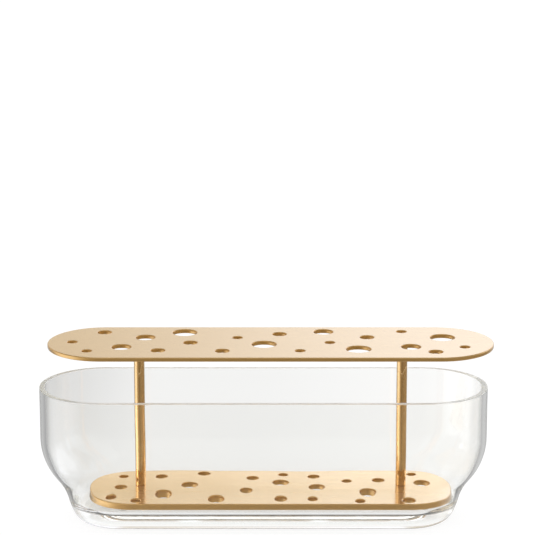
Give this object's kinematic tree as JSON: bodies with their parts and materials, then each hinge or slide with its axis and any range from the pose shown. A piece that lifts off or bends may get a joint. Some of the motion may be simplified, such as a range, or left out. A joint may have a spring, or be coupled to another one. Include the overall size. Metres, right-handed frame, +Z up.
{
  "type": "ikebana vase",
  "caption": "Long low clear glass vessel with a drawn-in foot and a loose brass insert: two perforated obround plates on posts that hold flower stems upright.",
  "frame": {"origin": "middle of the flat underside of the glass foot", "axes": "+X along the vessel's length to the right as pictured, +Y to the back, +Z up"},
  "size_m": [0.3439, 0.098, 0.139],
  "materials": {
    "clear_glass": "clear, fire polished",
    "brushed_brass": "satin, brushed along the length",
    "drawn_brass": "polished drawn rod",
    "screw_steel": "bright zinc",
    "clear_pad": "clear, glossy"
  },
  "bodies": {
    "vessel": {"glass_vessel": "clear_glass"},
    "insert": {"top_plate": "brushed_brass", "bottom_plate": "brushed_brass", "left_post": "drawn_brass", "right_post": "drawn_brass", "left_post_screw": "screw_steel", "right_post_screw": "screw_steel", "front_left_pad": "clear_pad", "front_right_pad": "clear_pad", "rear_left_pad": "clear_pad", "rear_right_pad": "clear_pad"}
  },
  "joints": [
    {"name": "insert_lift", "type": "slide", "parent": "vessel", "child": "insert", "axis": [0, 0, 1], "range_m": [0, 0.1]}
  ]
}
